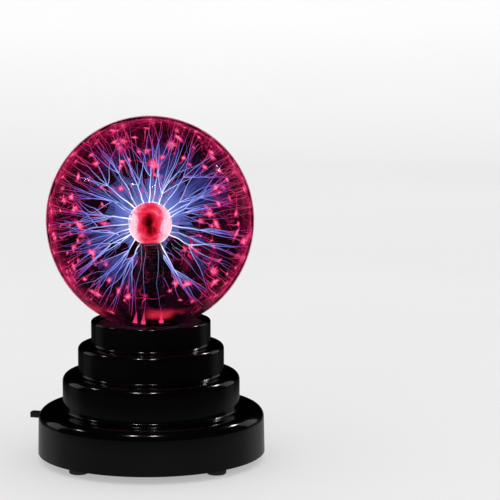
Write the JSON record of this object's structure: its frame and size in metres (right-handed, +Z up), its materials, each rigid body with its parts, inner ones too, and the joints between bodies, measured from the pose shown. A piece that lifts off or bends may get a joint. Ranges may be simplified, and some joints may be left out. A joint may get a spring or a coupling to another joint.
{
  "type": "plasma ball",
  "caption": "Plasma ball: a clear glass globe with a central electrode, held in the collar of a round stepped gloss base with a side slide switch.",
  "frame": {"origin": "on the axis of the globe and base, on the plane that the feet stand on", "axes": "+Z up along the axis; the four feet stand on +X, +Y, -X and -Y; the slide switch faces 120 degrees and the power inlet 60 degrees, both measured from +X towards +Y"},
  "size_m": [0.088, 0.088, 0.1333],
  "materials": {
    "clear_glass": "clear blown glass",
    "electrode_glass": "coated glass ball",
    "metal_wool": "packed fine wool",
    "spring_steel": "bright drawn wire",
    "shell_plastic": "high gloss moulded",
    "plate_plastic": "fine texture",
    "foot_rubber": "matte",
    "seat_silicone": "satin",
    "screw_steel": "zinc plated",
    "cell_jacket": "printed sleeve",
    "contact_steel": "nickel plated",
    "switch_plastic": "fine texture",
    "inlet_plastic": "fine texture",
    "board_laminate": "solder masked",
    "ferrite": "sintered",
    "bobbin_plastic": "moulded",
    "winding_tape": "wrapped tape",
    "sink_aluminium": "extruded",
    "transistor_plastic": "moulded",
    "capacitor_sleeve": "shrunk sleeve",
    "film_resin": "dipped resin",
    "resistor_body": "lacquered",
    "wire_sleeve": "extruded sleeve",
    "plasma_glow": "glowing gas, clear where it does not glow"
  },
  "bodies": {
    "base": {"glass_globe": "clear_glass", "stem_tube": "clear_glass", "exhaust_tip": "clear_glass", "electrode_ball": "electrode_glass", "electrode_core": "metal_wool", "lead_spring": "spring_steel", "seat_ring": "seat_silicone", "base_shell": "shell_plastic", "base_plate": "plate_plastic", "foot_1": "foot_rubber", "foot_2": "foot_rubber", "foot_3": "foot_rubber", "foot_4": "foot_rubber", "plate_screws": "screw_steel", "cell_1": "cell_jacket", "cell_2": "cell_jacket", "cell_3": "cell_jacket", "cell_4": "cell_jacket", "contact_strips": "contact_steel", "contact_springs": "contact_steel", "switch_body": "switch_plastic", "power_inlet": "inlet_plastic", "inlet_pin": "contact_steel", "circuit_board": "board_laminate", "board_screws": "screw_steel", "transformer_core": "ferrite", "transformer_bobbin": "bobbin_plastic", "transformer_winding": "winding_tape", "heat_sink": "sink_aluminium", "power_transistor": "transistor_plastic", "main_capacitor": "capacitor_sleeve", "film_capacitor": "film_resin", "resistors": "resistor_body", "high_voltage_lead": "wire_sleeve", "battery_wires": "wire_sleeve", "switch_wires": "wire_sleeve", "inlet_wires": "wire_sleeve"},
    "lever": {"switch_lever": "switch_plastic"},
    "door": {"battery_door": "plate_plastic"}
  },
  "joints": [
    {"name": "switch_slide", "type": "slide", "parent": "base", "child": "lever", "axis": [-0.866, -0.5, 0], "range_m": [-0.003, 0]},
    {"name": "door_hinge", "type": "hinge", "parent": "base", "child": "door", "pos_m": [0, 0.0212, 0.004], "axis": [1, 0, 0], "range_deg": [0, 75]}
  ]
}
